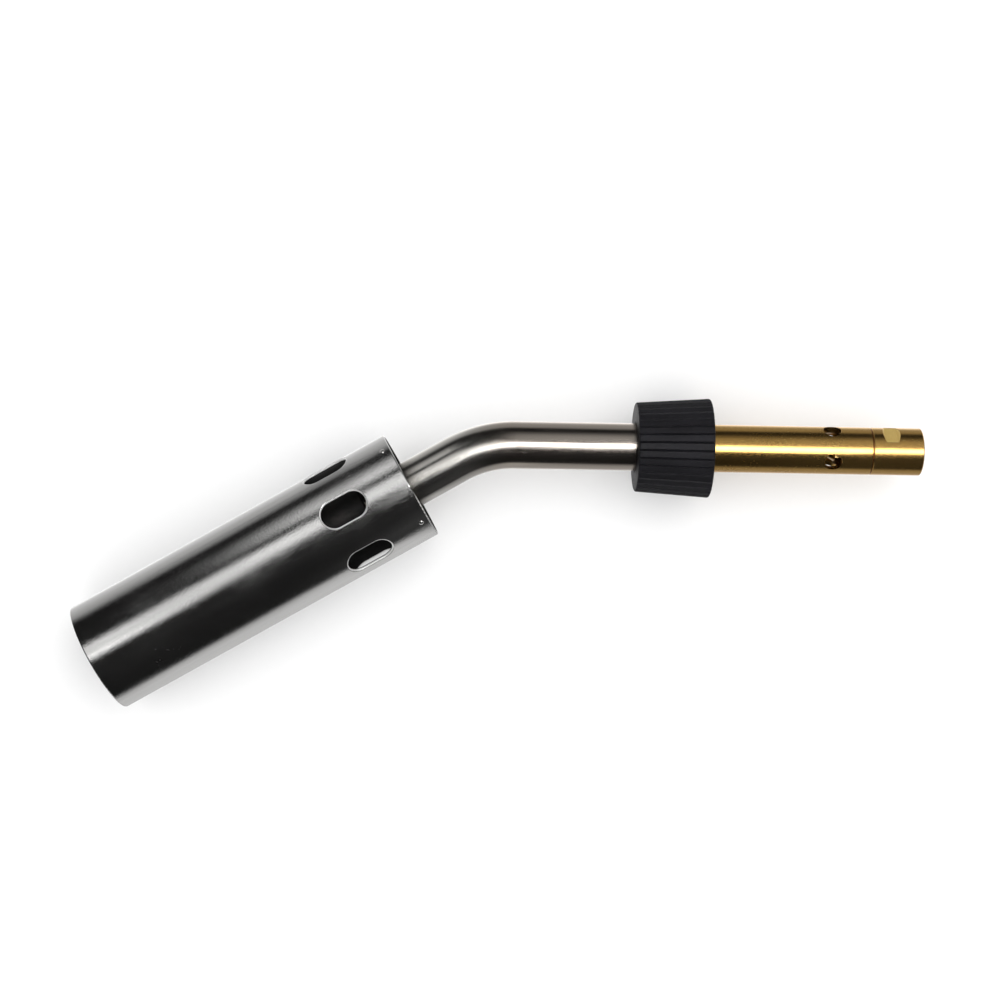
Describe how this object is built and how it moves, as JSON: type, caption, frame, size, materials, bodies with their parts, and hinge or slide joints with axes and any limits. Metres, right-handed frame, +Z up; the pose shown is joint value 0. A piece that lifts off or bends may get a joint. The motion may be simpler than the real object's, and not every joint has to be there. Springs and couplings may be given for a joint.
{
  "type": "gas torch burner head",
  "caption": "Gas torch burner head: an open flame barrel on a bent neck, with a captive hand nut and a plug-in brass mixer tube that ends in a sealed gas inlet.",
  "frame": {"origin": "on the coupling axis, at the front face of the thrust collar, where the handle's socket stops", "axes": "+X along the coupling axis towards the gas inlet; the neck's bend lies in the XY plane, so the barrel runs towards -X and -Y, 30 degrees off the coupling axis; +Z up from the surface that the burner lies on"},
  "size_m": [0.2846, 0.1066, 0.038],
  "materials": {
    "polished_steel": "polished",
    "plate_steel": "satin",
    "rivet_steel": "gloss",
    "satin_steel": "satin",
    "hot_steel": "matte",
    "spring_steel": "satin",
    "collar_brass": "satin",
    "washer_plastic": "satin",
    "nut_plastic": "matte",
    "insert_brass": "satin",
    "brushed_brass": "satin",
    "inner_brass": "satin",
    "gasket_copper": "satin",
    "jet_brass": "gloss",
    "sintered_bronze": "matte",
    "seal_rubber": "matte"
  },
  "bodies": {
    "burner": {"burner_barrel": "polished_steel", "barrel_back_plate": "plate_steel", "plate_hub": "plate_steel", "barrel_rivets": "rivet_steel", "neck_tube": "satin_steel", "burner_nozzle": "hot_steel", "swirl_vane": "hot_steel", "flame_disc": "hot_steel", "disc_retaining_ring": "spring_steel", "thrust_collar": "collar_brass", "mixer_tube": "brushed_brass", "venturi_insert": "inner_brass", "holder_gasket": "gasket_copper", "jet_holder": "brushed_brass", "gas_jet": "jet_brass", "jet_washer": "gasket_copper", "gas_filter": "sintered_bronze", "filter_clip": "spring_steel", "inlet_o_ring": "seal_rubber"},
    "washer": {"slip_washer": "washer_plastic"},
    "nut": {"coupling_nut": "nut_plastic", "nut_insert": "insert_brass"}
  },
  "joints": [
    {"name": "nut_slide", "type": "slide", "parent": "burner", "child": "washer", "axis": [-1, 0, 0], "range_m": [0, 0.036]},
    {"name": "nut_spin", "type": "hinge", "parent": "washer", "child": "nut", "pos_m": [0, 0, 0], "axis": [1, 0, 0], "continuous": true}
  ]
}
